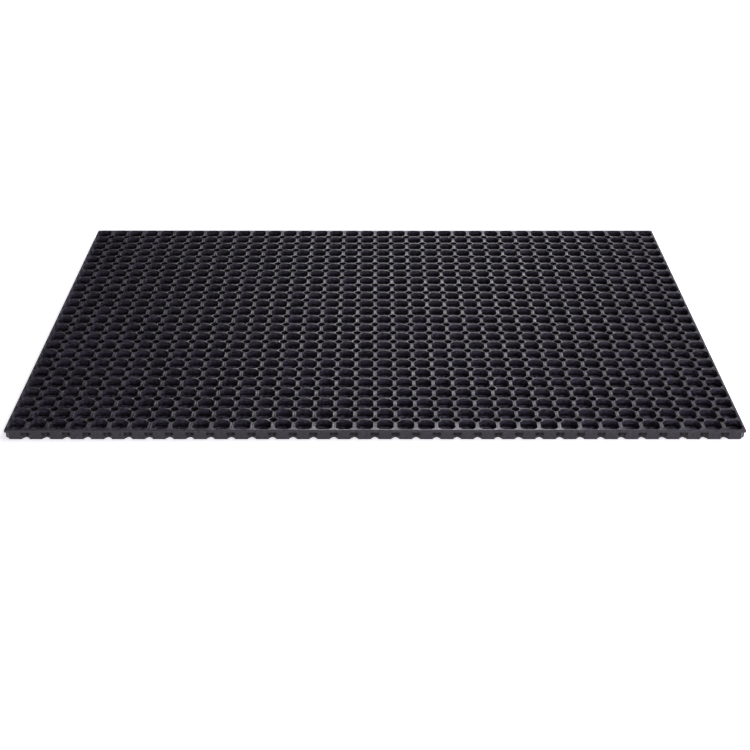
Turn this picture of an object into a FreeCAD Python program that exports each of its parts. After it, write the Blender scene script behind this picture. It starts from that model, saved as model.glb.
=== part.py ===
"""Hollow ring mat of black rubber, 1500 x 1000 x 22 mm, as a parametric FreeCAD document.

The mat is one moulding: a square lattice of octagonal cells, 36 across and 24 deep. Each cell is a cup in the tread
over a thin membrane, and the same octagon is hollowed out under the membrane. Where four cells meet, a diamond
hollow rises from the floor to a deck, and a round drain pierces the deck, so that water runs out below.
Such a lattice bends along its lattice lines, where the hollows and drains leave least rubber. The moulding is
modelled as its 36 columns of cells, one strip each, which meet on those lines and turn on flex lines in the tread.
The left end strip and the first inner strip are PartDesign bodies. The other inner strips repeat the inner one,
and the right end strip mirrors the left one.

Frame: millimetres, +Z up, origin under the middle of the mat on the floor. The mat's length lies along X.
"""

import FreeCAD, Part
import math
import os

import Sketcher

# The driving dimensions, in millimetres or as plain counts.
SIZES = {
    "mat_length": (1500, "along X"),
    "mat_width": (1000, "along Y"),
    "mat_height": (22, "floor to tread"),
    "columns": (36, "cells along X"),
    "rows": (24, "cells along Y"),
    "web_width": (8, "rubber left between two cells"),
    "corner_cut": (6, "leg of the 45 degree cut at each corner of a cell"),
    "cup_depth": (15.5, "depth of a cell's cup below the tread"),
    "membrane": (2.5, "thickness of the cell's floor"),
    "deck_height": (6, "thickness of the deck over the hollows"),
    "hollow_reach": (8.3, "from a hollow's centre to its corners, along X and Y"),
    "drain_diameter": (16, "round drain in the deck between four cells"),
    "seam_gap": (0.3, "clearance between two strips"),
}

# From one lattice line to the next, which is also a strip's width.
PITCH = "(Sizes.mat_length / Sizes.columns)"


def value(alias):
    """A driving dimension as a number."""
    return SIZES[alias][0]


def pitch():
    """PITCH as a number."""
    return value("mat_length") / value("columns")


def size_sheet(doc):
    """The spreadsheet that every sub-part reads."""
    sheet = doc.addObject("Spreadsheet::Sheet", "Sizes")
    for row, (alias, (number, meaning)) in enumerate(SIZES.items(), start=1):
        sheet.set(f"A{row}", meaning)
        sheet.set(f"B{row}", str(number))
        sheet.setAlias(f"B{row}", alias)
    doc.recompute()
    return sheet


def level_sketch(body, name, height="0"):
    """An empty sketch on a level plane of a body, at a height above the floor."""
    sketch = body.newObject("Sketcher::SketchObject", name)
    floor = next(plane for plane in body.Origin.OriginFeatures if plane.Role == "XY_Plane")
    sketch.AttachmentSupport = [(floor, "")]
    sketch.MapMode = "FlatFace"
    sketch.setExpression("AttachmentOffset.Base.z", height)
    return sketch


def closed_outline(sketch, corners):
    """Lines from corner to corner, joined end to start. Returns their numbers in the sketch."""
    points = [FreeCAD.Vector(x, y, 0) for x, y in corners]
    ends = points[1:] + points[:1]
    lines = [sketch.addGeometry(Part.LineSegment(a, b), False) for a, b in zip(points, ends)]
    for line, following in zip(lines, lines[1:] + lines[:1]):
        sketch.addConstraint(Sketcher.Constraint("Coincident", line, 2, following, 1))
    return lines


def fix_point(sketch, line, x_expression, y_expression):
    """Ties the start of a line to the sketch's origin, each way by an expression."""
    for direction, expression in (("DistanceX", x_expression), ("DistanceY", y_expression)):
        number = sketch.addConstraint(Sketcher.Constraint(direction, -1, 1, line, 1, 1.0))
        sketch.setExpression(f"Constraints[{number}]", expression)


def fix_outline(sketch, lines, corner_expressions):
    """Ties every corner of an outline to the sketch's origin."""
    for line, (x_expression, y_expression) in zip(lines, corner_expressions):
        fix_point(sketch, line, x_expression, y_expression)


def pocket(body, name, sketch, depth, rising):
    """A pocket of a stated depth that rises from its sketch or sinks below it."""
    cut = body.newObject("PartDesign::Pocket", name)
    cut.Profile = sketch
    cut.Reversed = rising
    cut.Refine = False
    cut.Type = "Length"
    cut.setExpression("Length", depth)
    return cut


def grid_of(body, name, feature, counts):
    """Repeats a feature at the lattice pitch. counts gives how many along each axis of its sketch."""
    pattern = body.newObject("PartDesign::MultiTransform", name)
    pattern.Originals = [feature]
    pattern.Refine = False
    steps = []
    for axis, count in counts.items():
        step = body.newObject("PartDesign::LinearPattern", f"{name}_{axis}")
        step.Direction = (feature.Profile[0], [axis])
        step.setExpression("Length", f"{PITCH} * ({count} - 1)")
        step.setExpression("Occurrences", count)
        steps.append(step)
    pattern.Transformations = steps
    body.Tip = pattern


def slab(body, left_trim, right_trim):
    """The solid strip before it is opened up, shortened by the trims at its seams."""
    left, right = left_trim, f"{PITCH} - {right_trim}"
    sketch = level_sketch(body, f"{body.Name}_outline")
    width, depth = pitch(), value("mat_width")
    lines = closed_outline(sketch, [(0, 0), (width, 0), (width, depth), (0, depth)])
    front, back = "0", "Sizes.mat_width"
    fix_outline(sketch, lines, [(left, front), (right, front), (right, back), (left, back)])
    pad = body.newObject("PartDesign::Pad", f"{body.Name}_slab")
    pad.Profile = sketch
    pad.setExpression("Length", "Sizes.mat_height")


def octagon(sketch):
    """A cell's outline: a square with its corners cut off."""
    low, high, cut = value("web_width") / 2, pitch() - value("web_width") / 2, value("corner_cut")
    corners = [
        (low + cut, low), (high - cut, low), (high, low + cut), (high, high - cut),
        (high - cut, high), (low + cut, high), (low, high - cut), (low, low + cut),
    ]
    near, far = "Sizes.web_width / 2", f"{PITCH} - Sizes.web_width / 2"
    near_cut = f"{near} + Sizes.corner_cut"
    far_cut = f"{far} - Sizes.corner_cut"
    expressions = [
        (near_cut, near), (far_cut, near), (far, near_cut), (far, far_cut),
        (far_cut, far), (near_cut, far), (near, far_cut), (near, near_cut),
    ]
    fix_outline(sketch, closed_outline(sketch, corners), expressions)


def cups(body):
    """The cells as they open in the tread."""
    sketch = level_sketch(body, f"{body.Name}_cup_outline", "Sizes.mat_height")
    octagon(sketch)
    cut = pocket(body, f"{body.Name}_cup", sketch, "Sizes.cup_depth", rising=False)
    grid_of(body, f"{body.Name}_cups", cut, {"V_Axis": "Sizes.rows"})


def undersides(body):
    """The cells as they are hollowed out from the floor, up to the membrane."""
    sketch = level_sketch(body, f"{body.Name}_underside_outline")
    octagon(sketch)
    depth = "Sizes.mat_height - Sizes.cup_depth - Sizes.membrane"
    cut = pocket(body, f"{body.Name}_underside", sketch, depth, rising=True)
    grid_of(body, f"{body.Name}_undersides", cut, {"V_Axis": "Sizes.rows"})


def hollows(body):
    """The diamond hollows under the deck at every lattice crossing, cut by the mat's edges and the seams."""
    sketch = level_sketch(body, f"{body.Name}_hollow_outline")
    reach = value("hollow_reach")
    lines = closed_outline(sketch, [(reach, 0), (0, reach), (-reach, 0), (0, -reach)])
    out, back = "Sizes.hollow_reach", "-Sizes.hollow_reach"
    fix_outline(sketch, lines, [(out, "0"), ("0", out), (back, "0"), ("0", back)])
    depth = "Sizes.mat_height - Sizes.deck_height"
    cut = pocket(body, f"{body.Name}_hollow", sketch, depth, rising=True)
    grid_of(body, f"{body.Name}_hollows", cut, {"H_Axis": "2", "V_Axis": "(Sizes.rows + 1)"})


def drains(body, at_left_end):
    """The round drains through the deck, at every crossing that isn't on the mat's own edge."""
    sketch = level_sketch(body, f"{body.Name}_drain_outline", "Sizes.mat_height")
    radius = value("drain_diameter") / 2
    round_edge = Part.Circle(FreeCAD.Vector(0, 0, 0), FreeCAD.Vector(0, 0, 1), radius)
    circle = sketch.addGeometry(round_edge, False)
    start = PITCH if at_left_end else "0"
    for direction, expression in (("DistanceX", start), ("DistanceY", PITCH)):
        number = sketch.addConstraint(Sketcher.Constraint(direction, -1, 1, circle, 3, 1.0))
        sketch.setExpression(f"Constraints[{number}]", expression)
    number = sketch.addConstraint(Sketcher.Constraint("Radius", circle, radius))
    sketch.setExpression(f"Constraints[{number}]", "Sizes.drain_diameter / 2")
    cut = pocket(body, f"{body.Name}_drain", sketch, "Sizes.deck_height", rising=False)
    counts = {"V_Axis": "(Sizes.rows - 1)"}
    if not at_left_end:
        counts["H_Axis"] = "2"
    grid_of(body, f"{body.Name}_drains", cut, counts)


def strip_label(index):
    """The name of a strip, counted from the mat's left end."""
    return f"cell_strip_{index + 1:02d}"


def modelled_strip(doc, index):
    """A strip built feature by feature. The one at the left end has a closed edge and no drains on it."""
    at_left_end = index == 0
    body = doc.addObject("PartDesign::Body", f"Strip{index + 1:02d}")
    body.Label = strip_label(index)
    trim = "Sizes.seam_gap / 2"
    slab(body, "0" if at_left_end else trim, trim)
    cups(body)
    undersides(body)
    hollows(body)
    drains(body, at_left_end)
    body.setExpression("Placement.Base.x", f"{PITCH} * {index} - Sizes.mat_length / 2")
    body.setExpression("Placement.Base.y", "-Sizes.mat_width / 2")
    return body


def repeated_strip(doc, index, inner_strip):
    """Another inner strip, the same as the modelled one."""
    copy = doc.addObject("Part::Feature", f"Strip{index + 1:02d}")
    copy.Label = strip_label(index)
    copy.Shape = inner_strip.Shape
    corner = FreeCAD.Vector(pitch() * index - value("mat_length") / 2, -value("mat_width") / 2, 0)
    copy.Placement = FreeCAD.Placement(corner, FreeCAD.Rotation())
    return copy


def mirrored_strip(doc, index, left_strip):
    """The strip at the right end, which mirrors the one at the left end in the mat's middle plane."""
    mirror = doc.addObject("Part::Mirroring", f"Strip{index + 1:02d}")
    mirror.Label = strip_label(index)
    mirror.Source = left_strip
    mirror.Normal = (1, 0, 0)
    return mirror


def expected_volume(at_end):
    """A strip's volume worked out by hand, to show that every pocket has cut what it should."""
    rows = value("rows")
    opening = pitch() - value("web_width")
    cell = opening**2 - 2 * value("corner_cut") ** 2
    hollow = 2 * value("hollow_reach") ** 2
    drain = math.pi * value("drain_diameter") ** 2 / 4
    drains_across = 0.5 if at_end else 1
    full_height = (pitch() ** 2 - cell) * rows * value("mat_height")
    membranes = cell * rows * value("membrane")
    under_deck = hollow * rows * (value("mat_height") - value("deck_height"))
    in_deck = drain * drains_across * (rows - 1) * value("deck_height")
    return full_height + membranes - under_deck - in_deck


def check(doc, strips):
    """Stops on anything that failed to build or that isn't the shape it should be."""
    for thing in doc.Objects:
        if "Invalid" in thing.State or "Error" in thing.State:
            raise RuntimeError(f"{thing.Label} failed: {thing.State}")
    left, inner, right = strips[0], strips[1], strips[-1]
    # the rest are copies of the inner strip, and the full test is slow
    for strip in (left, inner, right):
        if not strip.Shape.isValid():
            raise RuntimeError(f"{strip.Label} isn't a valid shape")
    for strip in strips:
        if len(strip.Shape.Solids) != 1:
            raise RuntimeError(f"{strip.Label} isn't one solid")
        expected = expected_volume(strip in (left, right))
        # the seam gap takes a little off every strip
        if abs(strip.Shape.Volume / expected - 1) > 0.02:
            raise RuntimeError(f"{strip.Label} holds {strip.Shape.Volume:.0f} mm3, not {expected:.0f}")


def main():
    doc = FreeCAD.newDocument("RingMat")
    size_sheet(doc)
    count = value("columns")
    left, inner = modelled_strip(doc, 0), modelled_strip(doc, 1)
    doc.recompute()
    repeats = [repeated_strip(doc, index, inner) for index in range(2, count - 1)]
    strips = [left, inner, *repeats, mirrored_strip(doc, count - 1, left)]
    doc.recompute()
    check(doc, strips)
    os.makedirs("parts", exist_ok=True)
    for strip in strips:
        strip.Shape.exportStep(f"parts/{strip.Label}.step")
    volumes = [strip.Shape.Volume for strip in strips]
    print(f"{count} strips, {volumes[0] / 1000:.1f} and {volumes[1] / 1000:.1f} cm3 each, {sum(volumes) / 1e6:.2f} litres")


main()
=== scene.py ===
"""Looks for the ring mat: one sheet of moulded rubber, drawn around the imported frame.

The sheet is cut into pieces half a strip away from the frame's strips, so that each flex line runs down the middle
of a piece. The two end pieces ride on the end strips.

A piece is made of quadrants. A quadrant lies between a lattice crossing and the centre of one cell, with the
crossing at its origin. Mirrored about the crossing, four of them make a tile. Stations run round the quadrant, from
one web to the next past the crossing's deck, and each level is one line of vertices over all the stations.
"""

import math

import bmesh
import bpy
import numpy as np
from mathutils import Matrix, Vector


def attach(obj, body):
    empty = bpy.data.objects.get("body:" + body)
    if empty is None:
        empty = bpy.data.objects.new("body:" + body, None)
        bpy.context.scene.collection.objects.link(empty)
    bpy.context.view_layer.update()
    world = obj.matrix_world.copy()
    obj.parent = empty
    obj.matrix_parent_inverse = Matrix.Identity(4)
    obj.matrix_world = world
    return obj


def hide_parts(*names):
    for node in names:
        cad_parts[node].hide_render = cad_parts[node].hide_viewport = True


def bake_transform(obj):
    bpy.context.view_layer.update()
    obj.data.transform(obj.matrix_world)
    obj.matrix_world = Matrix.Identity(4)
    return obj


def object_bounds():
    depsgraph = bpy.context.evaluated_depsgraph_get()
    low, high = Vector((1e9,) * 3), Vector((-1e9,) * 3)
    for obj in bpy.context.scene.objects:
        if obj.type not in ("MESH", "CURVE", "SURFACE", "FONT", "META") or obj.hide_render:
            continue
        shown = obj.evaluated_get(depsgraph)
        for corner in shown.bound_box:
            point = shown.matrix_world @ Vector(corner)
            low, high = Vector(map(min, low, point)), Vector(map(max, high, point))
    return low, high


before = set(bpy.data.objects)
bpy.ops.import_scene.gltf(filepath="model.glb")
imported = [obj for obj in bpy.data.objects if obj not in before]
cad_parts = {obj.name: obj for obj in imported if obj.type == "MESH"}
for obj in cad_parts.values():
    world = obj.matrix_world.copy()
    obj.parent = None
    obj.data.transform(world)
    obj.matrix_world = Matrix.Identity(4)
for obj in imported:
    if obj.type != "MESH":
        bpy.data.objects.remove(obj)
CAD_LOW, CAD_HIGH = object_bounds()

MM = 0.001

# The lattice, from the frame: one strip is one column of cells, and cells are square.
COLUMNS = len(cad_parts)
PITCH = (CAD_HIGH.x - CAD_LOW.x) / COLUMNS
ROWS = round((CAD_HIGH.y - CAD_LOW.y) / PITCH)
ROW_PITCH = (CAD_HIGH.y - CAD_LOW.y) / ROWS
HEIGHT = CAD_HIGH.z
HALF = PITCH / 2

# The moulding's own sizes. The webs, cups and drains in plan:
WEB = 8 * MM
CORNER_CUT = 6.6 * MM
CORNER_RADIUS = 2.6 * MM
DRAIN_REACH = 8 * MM
HOLLOW_REACH = 8.3 * MM
# how round an outline at the crossing is: 1 for a diamond, 2 for a circle
DRAIN_POWER = 2
HOLLOW_POWER = 1.3
# heights above the floor
CUP_FLOOR = 6.5 * MM
RECESS_TOP = 4 * MM
DECK_BOTTOM = 16 * MM
# the tread's relief: its dip at the drains, the crown of a web along X, the groove of a web along Y, the cups' lips
DISH_DEPTH = 1.6 * MM
CROWN = 1.3 * MM
GROOVE_DEPTH = 0.3 * MM
GROOVE_HALF = 1.2 * MM
LIP_WIDTH = 1.1 * MM
LIP_DROP = 0.7 * MM
EDGE_RADIUS = 0.8 * MM
# the cups' walls: steps down the wall, how far it leans in by its foot, how far the ribs stand out and go in
WALL_STEPS = 7
WALL_DRAFT = 0.4 * MM
RIB_DEPTH = 0.5 * MM
RIB_HOLLOW = -0.3
FOOT_HEIGHT = 0.4 * MM
FLOOR_INSET = 0.9 * MM
# how far the moulding wanders from the true lattice
WANDER = 0.3 * MM

# Painted light and shade in the rubber's colour, beside the tread: the top of a cup's wall painted light, and
# painted shade growing down it; ribs painted light, the grooves between them painted dark; the wall's foot; the
# floor painted light.
WALL_PAINTED_LIGHT = 2.9
WALL_PAINTED_SHADE_TO_FOOT = 1.5
RIB_PAINTED_HIGHLIGHT = 1.3
RIB_HOLLOW_PAINTED_SHADE = 0.7
FOOT_PAINTED_SHADING = 1.2
FLOOR_PAINTED_LIGHT = 4.6

# Stations of a quadrant: webs at both ends, the deck round the crossing between them.
WEB_STATIONS = 3
DECK_STATIONS = 7
STATIONS = 2 * WEB_STATIONS + DECK_STATIONS
FIRST_DECK, LAST_DECK = WEB_STATIONS, WEB_STATIONS + DECK_STATIONS - 1
MIDDLE = (STATIONS - 1) // 2
# How much each station shares in the crown of the web along X, and in the groove of the web along Y.
CROWNED = np.array([1, 1, 1, 0.5] + [0] * (STATIONS - 4))
GROOVED = np.array([0] * (STATIONS - 3) + [1, 1, 1])

rng = np.random.default_rng(7)
# For each cell: how strong the ribs on its walls are, and how far its floor rises or sags.
CELL_RIBS = rng.uniform(0.1, 1.2, (COLUMNS, ROWS))
CELL_FLOORS = rng.uniform(-0.5, 0.5, (COLUMNS, ROWS)) * MM


# ---------------------------------------------------------------- outlines in plan


def mirrored(points):
    """A line over half the stations, completed by its mirror image in the diagonal."""
    points = np.asarray(points, float)
    return np.vstack([points, points[-2::-1, ::-1]])


def cup_outline():
    """The quadrant of a cell's outline, and its normals towards the cell. One row for each station."""
    start = WEB / 2 + CORNER_CUT + CORNER_RADIUS * math.tan(math.radians(22.5))
    centre = np.array([start, WEB / 2 + CORNER_RADIUS])
    points, normals = [[HALF, WEB / 2], [(HALF + start) / 2, WEB / 2]], [[0, 1], [0, 1]]
    for degrees in (0, 15, 30, 45):
        turn = math.radians(degrees)
        normal = np.array([math.sin(turn), math.cos(turn)])
        points.append(centre - CORNER_RADIUS * normal)
        normals.append(normal)
    middle = WEB / 2 + CORNER_CUT / 2
    points.append([middle, middle])
    normals.append([math.sqrt(0.5)] * 2)
    return mirrored(points), mirrored(normals)


def rounded_diamond(reach, power):
    """A quadrant of a closed outline between a diamond and a circle, over the deck's stations."""
    turns = np.linspace(0, math.pi / 2, DECK_STATIONS)
    x, y = np.cos(turns), np.sin(turns)
    radius = reach / (np.abs(x) ** power + np.abs(y) ** power) ** (1 / power)
    return np.stack([radius * x, radius * y], 1)


OUTLINE, NORMALS = cup_outline()
DRAIN = rounded_diamond(DRAIN_REACH, DRAIN_POWER)
HOLLOW = rounded_diamond(HOLLOW_REACH, HOLLOW_POWER)
# the web stations' distances from the crossing, along the web's centre
WEB_AXIS = np.array([HALF, 15 * MM, 11 * MM])


def inner_line(deck):
    """The line of web centres and, between them, an outline round the crossing."""
    near = np.stack([WEB_AXIS, np.zeros(WEB_STATIONS)], 1)
    return np.vstack([near, deck, near[::-1, ::-1]])


def edge_line():
    """The line of web centres that runs into the crossing itself, for a crossing on the mat's edge."""
    along = np.linspace(HOLLOW_REACH, 0, MIDDLE - FIRST_DECK + 1)
    half = np.vstack([
        np.stack([WEB_AXIS, np.zeros(WEB_STATIONS)], 1),
        np.stack([along, np.zeros(len(along))], 1),
    ])
    return mirrored(half)


# ---------------------------------------------------------------- a quadrant


def on_edge(kind, station):
    """Which of the mat's faces a station of the inner line is on: the one along X, the one along Y."""
    return kind[0] and station <= MIDDLE, kind[1] and station >= MIDDLE


def relief(plan, kind):
    """How far the tread lies below the mat's height, at each row of plan.

    It dips towards a drain. A web along X is crowned, and one along Y has a groove down its middle. A web on the
    mat's own edge is flat, and there's no drain there to dip to.
    """
    away = np.linalg.norm(plan, axis=1)
    dip = np.clip((HALF - away) / (HALF - DRAIN_REACH), 0, 1) ** 2
    crown = CROWNED * (plan[:, 1] / (WEB / 2)) ** 2
    groove = GROOVED * np.clip(1 - plan[:, 0] / GROOVE_HALF, 0, 1)
    drop = CROWN * crown + GROOVE_DEPTH * groove
    if any(kind):
        on_face = np.array([any(on_edge(kind, station)) for station in range(STATIONS)])
        return np.where(on_face, 0, drop)
    return drop + DISH_DEPTH * dip


class Quadrant:
    """Vertices with what varies over them, and faces. A line of vertices is a list of their indices.

    ribs is the way in which the cell's ribs move a vertex, floors how much of the cell's floor it follows. The last
    two are for the material: how scuffed the rubber is, and how much painted light and shade lighten or darken its
    colour.
    """

    def __init__(self):
        self.places, self.ribs, self.floors, self.wear, self.tone = [], [], [], [], []
        self.faces = []

    def line(self, plan, heights, ribs=None, floor=0.0, wear=0.0, tone=1.0):
        """One level: a vertex at each row of plan."""
        heights = np.broadcast_to(heights, len(plan))
        first = len(self.places)
        for number, (spot, z) in enumerate(zip(plan, heights)):
            self.places.append((spot[0], spot[1], z))
            self.ribs.append((0, 0) if ribs is None else tuple(ribs[number]))
            self.floors.append(floor)
            self.wear.append(wear)
            self.tone.append(tone)
        return list(range(first, first + len(plan)))

    def skin(self, lines):
        """Faces between each line and the next."""
        for above, below in zip(lines, lines[1:]):
            for a, b, c, d in zip(above, above[1:], below[1:], below):
                self.faces.append((a, b, c, d))


def tread_lines(q, kind):
    """The tread, from the webs' centres out to the cups' lips."""
    at_edge = any(kind)
    inner = edge_line() if at_edge else inner_line(DRAIN)
    reach = np.linalg.norm(OUTLINE - inner, axis=1)
    towards = (OUTLINE - inner) / reach[:, None]
    drain = np.zeros(STATIONS, bool)
    if not at_edge:
        drain[FIRST_DECK:LAST_DECK + 1] = True
    face = np.array([on_edge(kind, station) for station in range(STATIONS)])
    # how far along the way from the inner line to the cup's outline
    web_steps = (0, 0.17, 0.32)
    drain_steps = (0.08, 0.17, 0.25)
    lines = []
    for web_step, drain_step in zip(web_steps, drain_steps):
        steps = np.where(drain, drain_step, web_step) * reach
        plan = inner + towards * steps[:, None]
        heights = HEIGHT - relief(plan, kind)
        if not lines:
            # at a face of the mat the tread ends where the edge's rounding starts
            plan[face[:, 0], 1] = EDGE_RADIUS
            plan[face[:, 1], 0] = EDGE_RADIUS
        lines.append(q.line(plan, heights, wear=0.3))
    for degrees, wear in ((0, 0.4), (25, 0.8), (50, 1.0), (75, 0.6), (90, 0.2)):
        turn = math.radians(degrees)
        offset = LIP_WIDTH * (math.sin(turn) - 1)
        drop = LIP_DROP * (1 - math.cos(turn))
        plan = OUTLINE + NORMALS * offset
        lines.append(q.line(plan, HEIGHT - drop - relief(plan, kind), wear=wear))
    return lines


def cup_lines(q, kind):
    """The cup below its lip: ribbed wall, foot, floor, and the floor's centre."""
    top = HEIGHT - LIP_DROP - relief(OUTLINE, kind)
    foot = CUP_FLOOR + FOOT_HEIGHT
    lines = []
    for step in range(1, WALL_STEPS):
        share = step / WALL_STEPS
        z = top + (foot - top) * share
        draft = WALL_DRAFT * share
        on_rib = step % 2
        rib = RIB_DEPTH * (1 if on_rib else RIB_HOLLOW)
        # painted light on the wall's top, fading to painted shade towards the foot; ribs painted lighter and the
        # grooves between them darker
        tone = (WALL_PAINTED_LIGHT - WALL_PAINTED_SHADE_TO_FOOT * share) * (RIB_PAINTED_HIGHLIGHT if on_rib else RIB_HOLLOW_PAINTED_SHADE)
        lines.append(q.line(OUTLINE + NORMALS * draft, z, ribs=NORMALS * rib, tone=tone))
    # painted light: a little on the wall's foot, much more on the cup's floor
    lines.append(q.line(OUTLINE + NORMALS * 0.5 * MM, foot, tone=FOOT_PAINTED_SHADING))
    centre = np.array([HALF, HALF])
    edge = OUTLINE + NORMALS * FLOOR_INSET
    lines.append(q.line(edge, CUP_FLOOR, floor=0.3, tone=FLOOR_PAINTED_LIGHT))
    lines.append(q.line(edge + (centre - edge) * 0.5, CUP_FLOOR, floor=1.0, tone=FLOOR_PAINTED_LIGHT))
    lines.append(q.line(np.tile(centre, (STATIONS, 1)), CUP_FLOOR, floor=1.0, tone=FLOOR_PAINTED_LIGHT))
    return lines


def underside_lines(q):
    """The underside: the webs' feet, the recess under the cup, and its ceiling."""
    inner = inner_line(HOLLOW)
    centre = np.array([HALF, HALF])
    edge = OUTLINE + NORMALS * 1.0 * MM
    return [
        q.line(inner, 0.0),
        q.line(OUTLINE - NORMALS * 0.5 * MM, 0.0),
        q.line(OUTLINE + NORMALS * 0.1 * MM, 0.6 * MM),
        q.line(OUTLINE + NORMALS * 0.4 * MM, RECESS_TOP - 0.5 * MM),
        q.line(edge, RECESS_TOP, floor=0.3),
        q.line(np.tile(centre, (STATIONS, 1)), RECESS_TOP, floor=1.0),
    ]


def drain_lines(q, tread):
    """The drain through the deck, and the hollow below it."""
    away = DRAIN / np.linalg.norm(DRAIN, axis=1)[:, None]
    rim = HEIGHT - DISH_DEPTH
    # painted shade darkens the drain's wall and the hollow below it, most at the deck's underside
    return [
        tread[0][FIRST_DECK:LAST_DECK + 1],
        q.line(DRAIN + away * 0.15 * MM, rim - 0.05 * MM, wear=1.0),
        q.line(DRAIN, rim - 0.4 * MM, wear=0.4, tone=0.5),
        q.line(DRAIN, rim - 1.2 * MM, tone=0.15),
        q.line(DRAIN, DECK_BOTTOM, tone=0.05),
        q.line(HOLLOW, DECK_BOTTOM - 0.4 * MM, tone=0.1),
        q.line(HOLLOW, 0.0, tone=0.5),
    ]


def face_lines(q, kind, tread):
    """The mat's own faces at a crossing on its edge: rounded rim, and the half hollow as a notch below it."""
    made = []
    for along_x in (True, False):
        if not kind[0 if along_x else 1]:
            continue
        plan = edge_line()
        part = slice(0, MIDDLE + 1) if along_x else slice(MIDDLE, STATIONS)
        plan = plan[part]
        softened = EDGE_RADIUS * (1 - math.sqrt(0.5))
        shift = np.array([0, softened]) if along_x else np.array([softened, 0])
        corner = plan + shift
        flush = plan.copy()
        if kind[0] and kind[1]:
            # the rim's rounding also turns the mat's own corner
            where = -1 if along_x else 0
            corner[where] = [softened, softened]
            flush[where] = [0, 0]
        rim = [
            tread[0][part],
            q.line(corner, HEIGHT - softened, wear=1.0),
            q.line(flush, HEIGHT - EDGE_RADIUS, wear=0.6),
            q.line(flush, DECK_BOTTOM),
        ]
        q.skin(rim)
        block = slice(0, FIRST_DECK + 1) if along_x else slice(LAST_DECK - MIDDLE, None)
        q.skin([rim[-1][block], q.line(flush[block], 0.0)])
        made.append(rim)
    # the notch: its wall, darkened almost to black with painted shade, and its ceiling under the rim
    wall = q.line(HOLLOW, DECK_BOTTOM, tone=0.0)
    q.skin([wall, q.line(HOLLOW, 0.0, tone=0.1)])
    q.skin([q.line(edge_line()[FIRST_DECK:LAST_DECK + 1], DECK_BOTTOM), wall])
    return made


def quadrant(kind):
    """A quadrant. kind says whether the crossing is on a mat's edge along X, and on one along Y."""
    q = Quadrant()
    tread = tread_lines(q, kind)
    cup = tread + cup_lines(q, kind)
    q.skin(cup)
    under = underside_lines(q)
    q.skin(under)
    made = []
    if any(kind):
        made = face_lines(q, kind, tread)
    else:
        q.skin(drain_lines(q, tread))
    # the cut through the middle of the web and the cell, where the next piece meets this one
    cut = [line[0] for line in cup] + [line[0] for line in reversed(under)]
    if kind[0]:
        cut += [line[0] for line in reversed(made[0][1:])]
    q.faces.append(tuple(cut))
    return q


# ---------------------------------------------------------------- pieces of the sheet


def assemble(end):
    """All quadrants of one piece about its own flex line. end is -1 or 1 for the mat's two ends, and 0 inside."""
    quadrants = {kind: quadrant(kind) for kind in ((a, b) for a in (False, True) for b in (False, True))}
    parts, faces, count = [], [], 0
    for row in range(ROWS + 1):
        on_front_or_back = row in (0, ROWS)
        for side_x in (-1, 1):
            if side_x == end:
                continue
            for side_y in (-1, 1):
                if (row == 0 and side_y < 0) or (row == ROWS and side_y > 0):
                    continue
                q = quadrants[on_front_or_back, end != 0]
                flip = np.array([side_x, side_y * ROW_PITCH / PITCH, 1])
                place = np.array(q.places) * flip
                place[:, 1] += CAD_LOW.y + row * ROW_PITCH
                column = 0 if side_x > 0 else -1
                cell_row = row if side_y > 0 else row - 1
                parts.append(np.column_stack([
                    place,
                    np.array(q.ribs) * flip[:2],
                    q.floors,
                    q.wear,
                    q.tone,
                    np.full(len(place), column),
                    np.full(len(place), cell_row),
                ]))
                turned = side_x * side_y < 0
                for f in q.faces:
                    f = f[::-1] if turned else f
                    faces.append([number + count for number in f])
                count += len(place)
    data = np.vstack(parts)
    # vertices at one place become one
    keys = np.round(data[:, :3] / (0.001 * MM)).astype(np.int64)
    _, first, which = np.unique(keys, axis=0, return_index=True, return_inverse=True)
    which = which.ravel()
    joined = []
    for f in faces:
        ring = []
        for number in f:
            number = int(which[number])
            if number not in ring:
                ring.append(number)
        if len(ring) > 2:
            joined.append(ring)
    return data[first], joined


def wander(places):
    """A slow drift of the whole moulding, less than a millimetre, the same wherever two pieces meet."""
    x, y = places[:, 0], places[:, 1]
    turn = 2 * math.pi
    drift_x = np.sin(turn * (x / 0.31 + y / 0.23)) + np.sin(turn * (y / 0.117 - x / 0.47))
    drift_y = np.sin(turn * (x / 0.19 - y / 0.41)) + np.sin(turn * (x / 0.083 + y / 0.29))
    fine_x = np.sin(turn * (x / 0.031 + y / 0.043)) * np.sin(turn * (y / 0.027 - x / 0.061))
    fine_y = np.sin(turn * (x / 0.037 - y / 0.029)) * np.sin(turn * (x / 0.053 + y / 0.047))
    return np.stack([
        (0.6 * drift_x + 0.3 * fine_x) * WANDER * np.clip((CAD_HIGH.x - np.abs(x)) / HALF, 0, 1),
        (0.6 * drift_y + 0.3 * fine_y) * WANDER * np.clip((CAD_HIGH.y - np.abs(y)) / HALF, 0, 1),
    ], 1)


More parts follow.
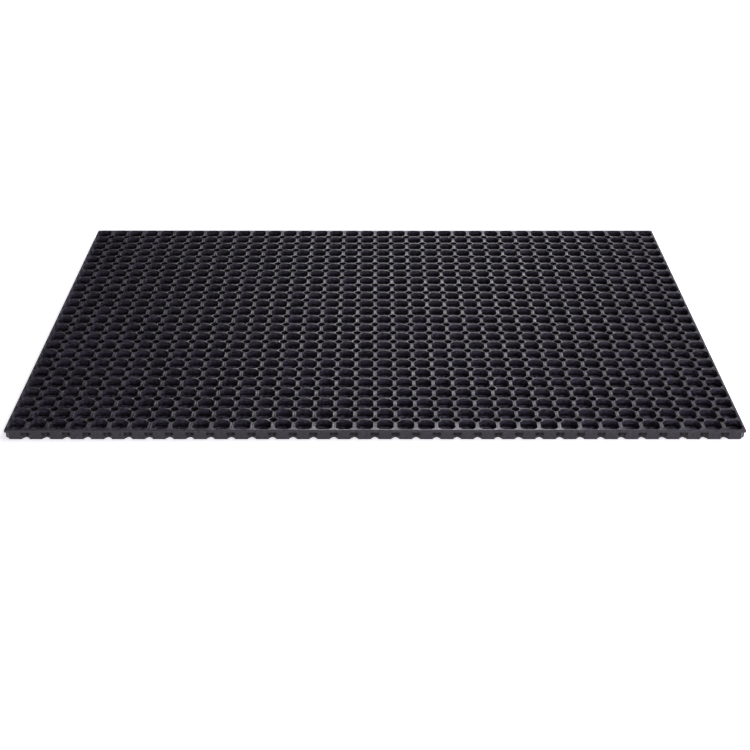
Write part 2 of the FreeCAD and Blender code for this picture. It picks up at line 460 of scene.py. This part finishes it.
def make_piece(name, pattern, line, material):
    """A piece of the sheet about the flex line of this number, counted from the mat's left end."""
    data, faces = pattern
    places = data[:, :3].copy()
    places[:, 0] += CAD_LOW.x + line * PITCH
    rest = places.copy()
    column = np.clip(line + data[:, 8].astype(int), 0, COLUMNS - 1)
    row = np.clip(data[:, 9].astype(int), 0, ROWS - 1)
    places[:, :2] += data[:, 3:5] * CELL_RIBS[column, row][:, None]
    places[:, 2] += data[:, 5] * CELL_FLOORS[column, row]
    places[:, :2] += wander(rest)
    mesh = bpy.data.meshes.new(name)
    mesh.from_pydata(places.tolist(), [], faces)
    mesh.attributes.new("rest", "FLOAT_VECTOR", "POINT").data.foreach_set(
        "vector", rest.astype(np.float32).ravel()
    )
    # wear, and the painted light and shade that lighten or darken the rubber's colour
    for label, values in (("wear", data[:, 6]), ("tone", data[:, 7])):
        mesh.attributes.new(label, "FLOAT", "POINT").data.foreach_set("value", values.astype(np.float32))
    mesh.materials.append(material)
    work = bmesh.new()
    work.from_mesh(mesh)
    bmesh.ops.recalc_face_normals(work, faces=work.faces)
    work.to_mesh(mesh)
    work.free()
    mesh.shade_smooth()
    mesh.set_sharp_from_angle(angle=math.radians(50))
    piece = bpy.data.objects.new(name, mesh)
    bpy.context.scene.collection.objects.link(piece)
    return piece


# ---------------------------------------------------------------- material


def rubber():
    """Black moulded rubber: painted lighter in the cups, painted darker in the drains, a sheen, a little grey wear
    on the tread's edges.
    """
    material = bpy.data.materials.new("moulded_rubber")
    material.use_nodes = True
    nodes, links = material.node_tree.nodes, material.node_tree.links
    shader = nodes["Principled BSDF"]
    shader.inputs["Specular IOR Level"].default_value = 0.4
    rest = nodes.new("ShaderNodeAttribute")
    rest.attribute_name = "rest"
    wear = nodes.new("ShaderNodeAttribute")
    wear.attribute_name = "wear"
    # the painted light and shade, read from the vertices
    tone = nodes.new("ShaderNodeAttribute")
    tone.attribute_name = "tone"

    def noise(scale, detail, roughness=0.5, source=None):
        texture = nodes.new("ShaderNodeTexNoise")
        texture.inputs["Scale"].default_value = scale
        texture.inputs["Detail"].default_value = detail
        texture.inputs["Roughness"].default_value = roughness
        links.new(source or rest.outputs["Vector"], texture.inputs["Vector"])
        return texture.outputs["Fac"]

    def to_range(source, low, high, from_low=0.3, from_high=0.7):
        step = nodes.new("ShaderNodeMapRange")
        step.inputs["From Min"].default_value = from_low
        step.inputs["From Max"].default_value = from_high
        step.inputs["To Min"].default_value = low
        step.inputs["To Max"].default_value = high
        links.new(source, step.inputs["Value"])
        return step.outputs["Result"]

    def maths(operation, a, b):
        step = nodes.new("ShaderNodeMath")
        step.operation = operation
        for socket, source in zip(step.inputs, (a, b)):
            if isinstance(source, (int, float)):
                socket.default_value = source
            else:
                links.new(source, socket)
        return step.outputs["Value"]

    patches, grain, speckle = noise(14, 3), noise(900, 3, 0.6), noise(260, 4, 0.6)
    colour = nodes.new("ShaderNodeMix")
    colour.data_type = "RGBA"
    colour.inputs["A"].default_value = (0.011, 0.0099, 0.0133, 1)
    colour.inputs["B"].default_value = (0.021, 0.0189, 0.0256, 1)
    mottle = to_range(maths("MULTIPLY", patches, maths("ADD", speckle, 0.5)), 0, 1, 0.2, 0.8)
    links.new(mottle, colour.inputs["Factor"])
    scuffed = nodes.new("ShaderNodeMix")
    scuffed.data_type = "RGBA"
    scuffed.inputs["B"].default_value = (0.026, 0.0234, 0.032, 1)
    links.new(colour.outputs["Result"], scuffed.inputs["A"])
    links.new(
        maths("MULTIPLY", wear.outputs["Fac"], to_range(speckle, 0.1, 0.8)), scuffed.inputs["Factor"]
    )
    # painted light makes the cups' walls and floors paler and painted shade makes the drains darker, with level
    # streaks from the mould
    flattened = nodes.new("ShaderNodeVectorMath")
    flattened.operation = "MULTIPLY"
    flattened.inputs[1].default_value = (1, 1, 3.5)
    links.new(rest.outputs["Vector"], flattened.inputs[0])
    streaks = to_range(noise(150, 2, 0.6, flattened.outputs["Vector"]), 0.15, 1.95, 0.38, 0.62)
    colour_with_painted_shading = nodes.new("ShaderNodeMix")
    colour_with_painted_shading.data_type = "RGBA"
    colour_with_painted_shading.blend_type = "MULTIPLY"
    colour_with_painted_shading.inputs["Factor"].default_value = 1
    links.new(scuffed.outputs["Result"], colour_with_painted_shading.inputs["A"])
    links.new(maths("MULTIPLY", tone.outputs["Fac"], streaks), colour_with_painted_shading.inputs["B"])
    links.new(colour_with_painted_shading.outputs["Result"], shader.inputs["Base Color"])
    links.new(to_range(maths("ADD", speckle, patches), 0.33, 0.52, 0.7, 1.3), shader.inputs["Roughness"])
    bump = nodes.new("ShaderNodeBump")
    bump.inputs["Strength"].default_value = 0.5
    bump.inputs["Distance"].default_value = 0.25 * MM
    links.new(maths("ADD", maths("MULTIPLY", grain, 0.4), speckle), bump.inputs["Height"])
    links.new(bump.outputs["Normal"], shader.inputs["Normal"])
    return material


# ---------------------------------------------------------------- stage, light and camera


FLOOR_HALF = 20


def make_floor():
    """A white floor that glows a little, so that it's evenly white behind the mat."""
    material = bpy.data.materials.new("pale_floor")
    material.use_nodes = True
    shader = material.node_tree.nodes["Principled BSDF"]
    shader.inputs["Base Color"].default_value = (0.93, 0.93, 0.93, 1)
    shader.inputs["Roughness"].default_value = 0.9
    shader.inputs["Specular IOR Level"].default_value = 0.1
    shader.inputs["Emission Color"].default_value = (1, 1, 1, 1)
    shader.inputs["Emission Strength"].default_value = 0.6
    mesh = bpy.data.meshes.new("floor")
    corners = [(x * FLOOR_HALF, y * FLOOR_HALF, 0) for x, y in ((-1, -1), (1, -1), (1, 1), (-1, 1))]
    mesh.from_pydata(corners, [], [(0, 1, 2, 3)])
    mesh.materials.append(material)
    floor = bpy.data.objects.new("floor", mesh)
    bpy.context.scene.collection.objects.link(floor)


def aim(thing, target):
    """Turns a light towards a place."""
    thing.rotation_euler = (Vector(target) - thing.location).to_track_quat("-Z", "Y").to_euler()


def softbox(name, place, target, width, depth, power, colour):
    """A rectangular light, width by depth in metres and power in watts."""
    data = bpy.data.lights.new(name, "AREA")
    data.shape = "RECTANGLE"
    data.size, data.size_y = width, depth
    data.energy = power
    data.color = colour
    light = bpy.data.objects.new(name, data)
    light.location = place
    bpy.context.scene.collection.objects.link(light)
    aim(light, target)


def make_light():
    """A key from the right, a light behind for the tread's sheen, and low fills in front for the cups' walls."""
    world = bpy.data.worlds.new("studio")
    world.use_nodes = True
    world.node_tree.nodes["Background"].inputs["Color"].default_value = (0.93, 0.9, 1, 1)
    world.node_tree.nodes["Background"].inputs["Strength"].default_value = 0.12
    bpy.context.scene.world = world
    softbox("key_over", (3.3, 0.6, 2.7), (0.9, 0.3, 0), 4.2, 5, 175, (0.94, 0.91, 1))
    softbox("back_high", (0.3, 3.0, 2.15), (0.2, 0.1, 0), 1.5, 0.5, 68, (0.95, 0.94, 1))
    softbox("front_left", (-1.9, -3.1, 0.8), (0.1, 0, 0), 0.9, 0.5, 5, (0.97, 0.95, 1))
    softbox("front_right", (2.0, -3.1, 0.8), (0.1, 0, 0), 0.9, 0.5, 36, (0.86, 0.78, 1))
    softbox("front_middle", (-0.1, -3.2, 0.9), (0.3, 0, 0), 0.8, 0.5, 14, (0.9, 0.86, 1))


# the camera's focal length in millimetres, its place, and how many degrees it looks down
LENS = 59.8
CAMERA_PLACE = (0, -2.617, 1.386)
CAMERA_TILT = 30.26


def make_camera():
    data = bpy.data.cameras.new("camera")
    data.sensor_width = 36
    data.lens = LENS
    camera = bpy.data.objects.new("camera", data)
    camera.location = CAMERA_PLACE
    camera.rotation_euler = (math.radians(90 - CAMERA_TILT), 0, 0)
    bpy.context.scene.collection.objects.link(camera)
    bpy.context.scene.camera = camera


def main():
    material = rubber()
    inner = assemble(0)
    for line in range(1, COLUMNS):
        piece = make_piece(f"mat_piece_{line:02d}", inner, line, material)
        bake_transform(piece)
        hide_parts(f"cell_strip_{line:02d}")
    left = make_piece("mat_end_left", assemble(-1), 0, material)
    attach(left, "strip_01")
    right = make_piece("mat_end_right", assemble(1), COLUMNS, material)
    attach(right, f"strip_{COLUMNS:02d}")
    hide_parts(f"cell_strip_{COLUMNS:02d}")
    make_floor()
    make_light()
    make_camera()
    bpy.context.scene.view_settings.view_transform = "Standard"


main()
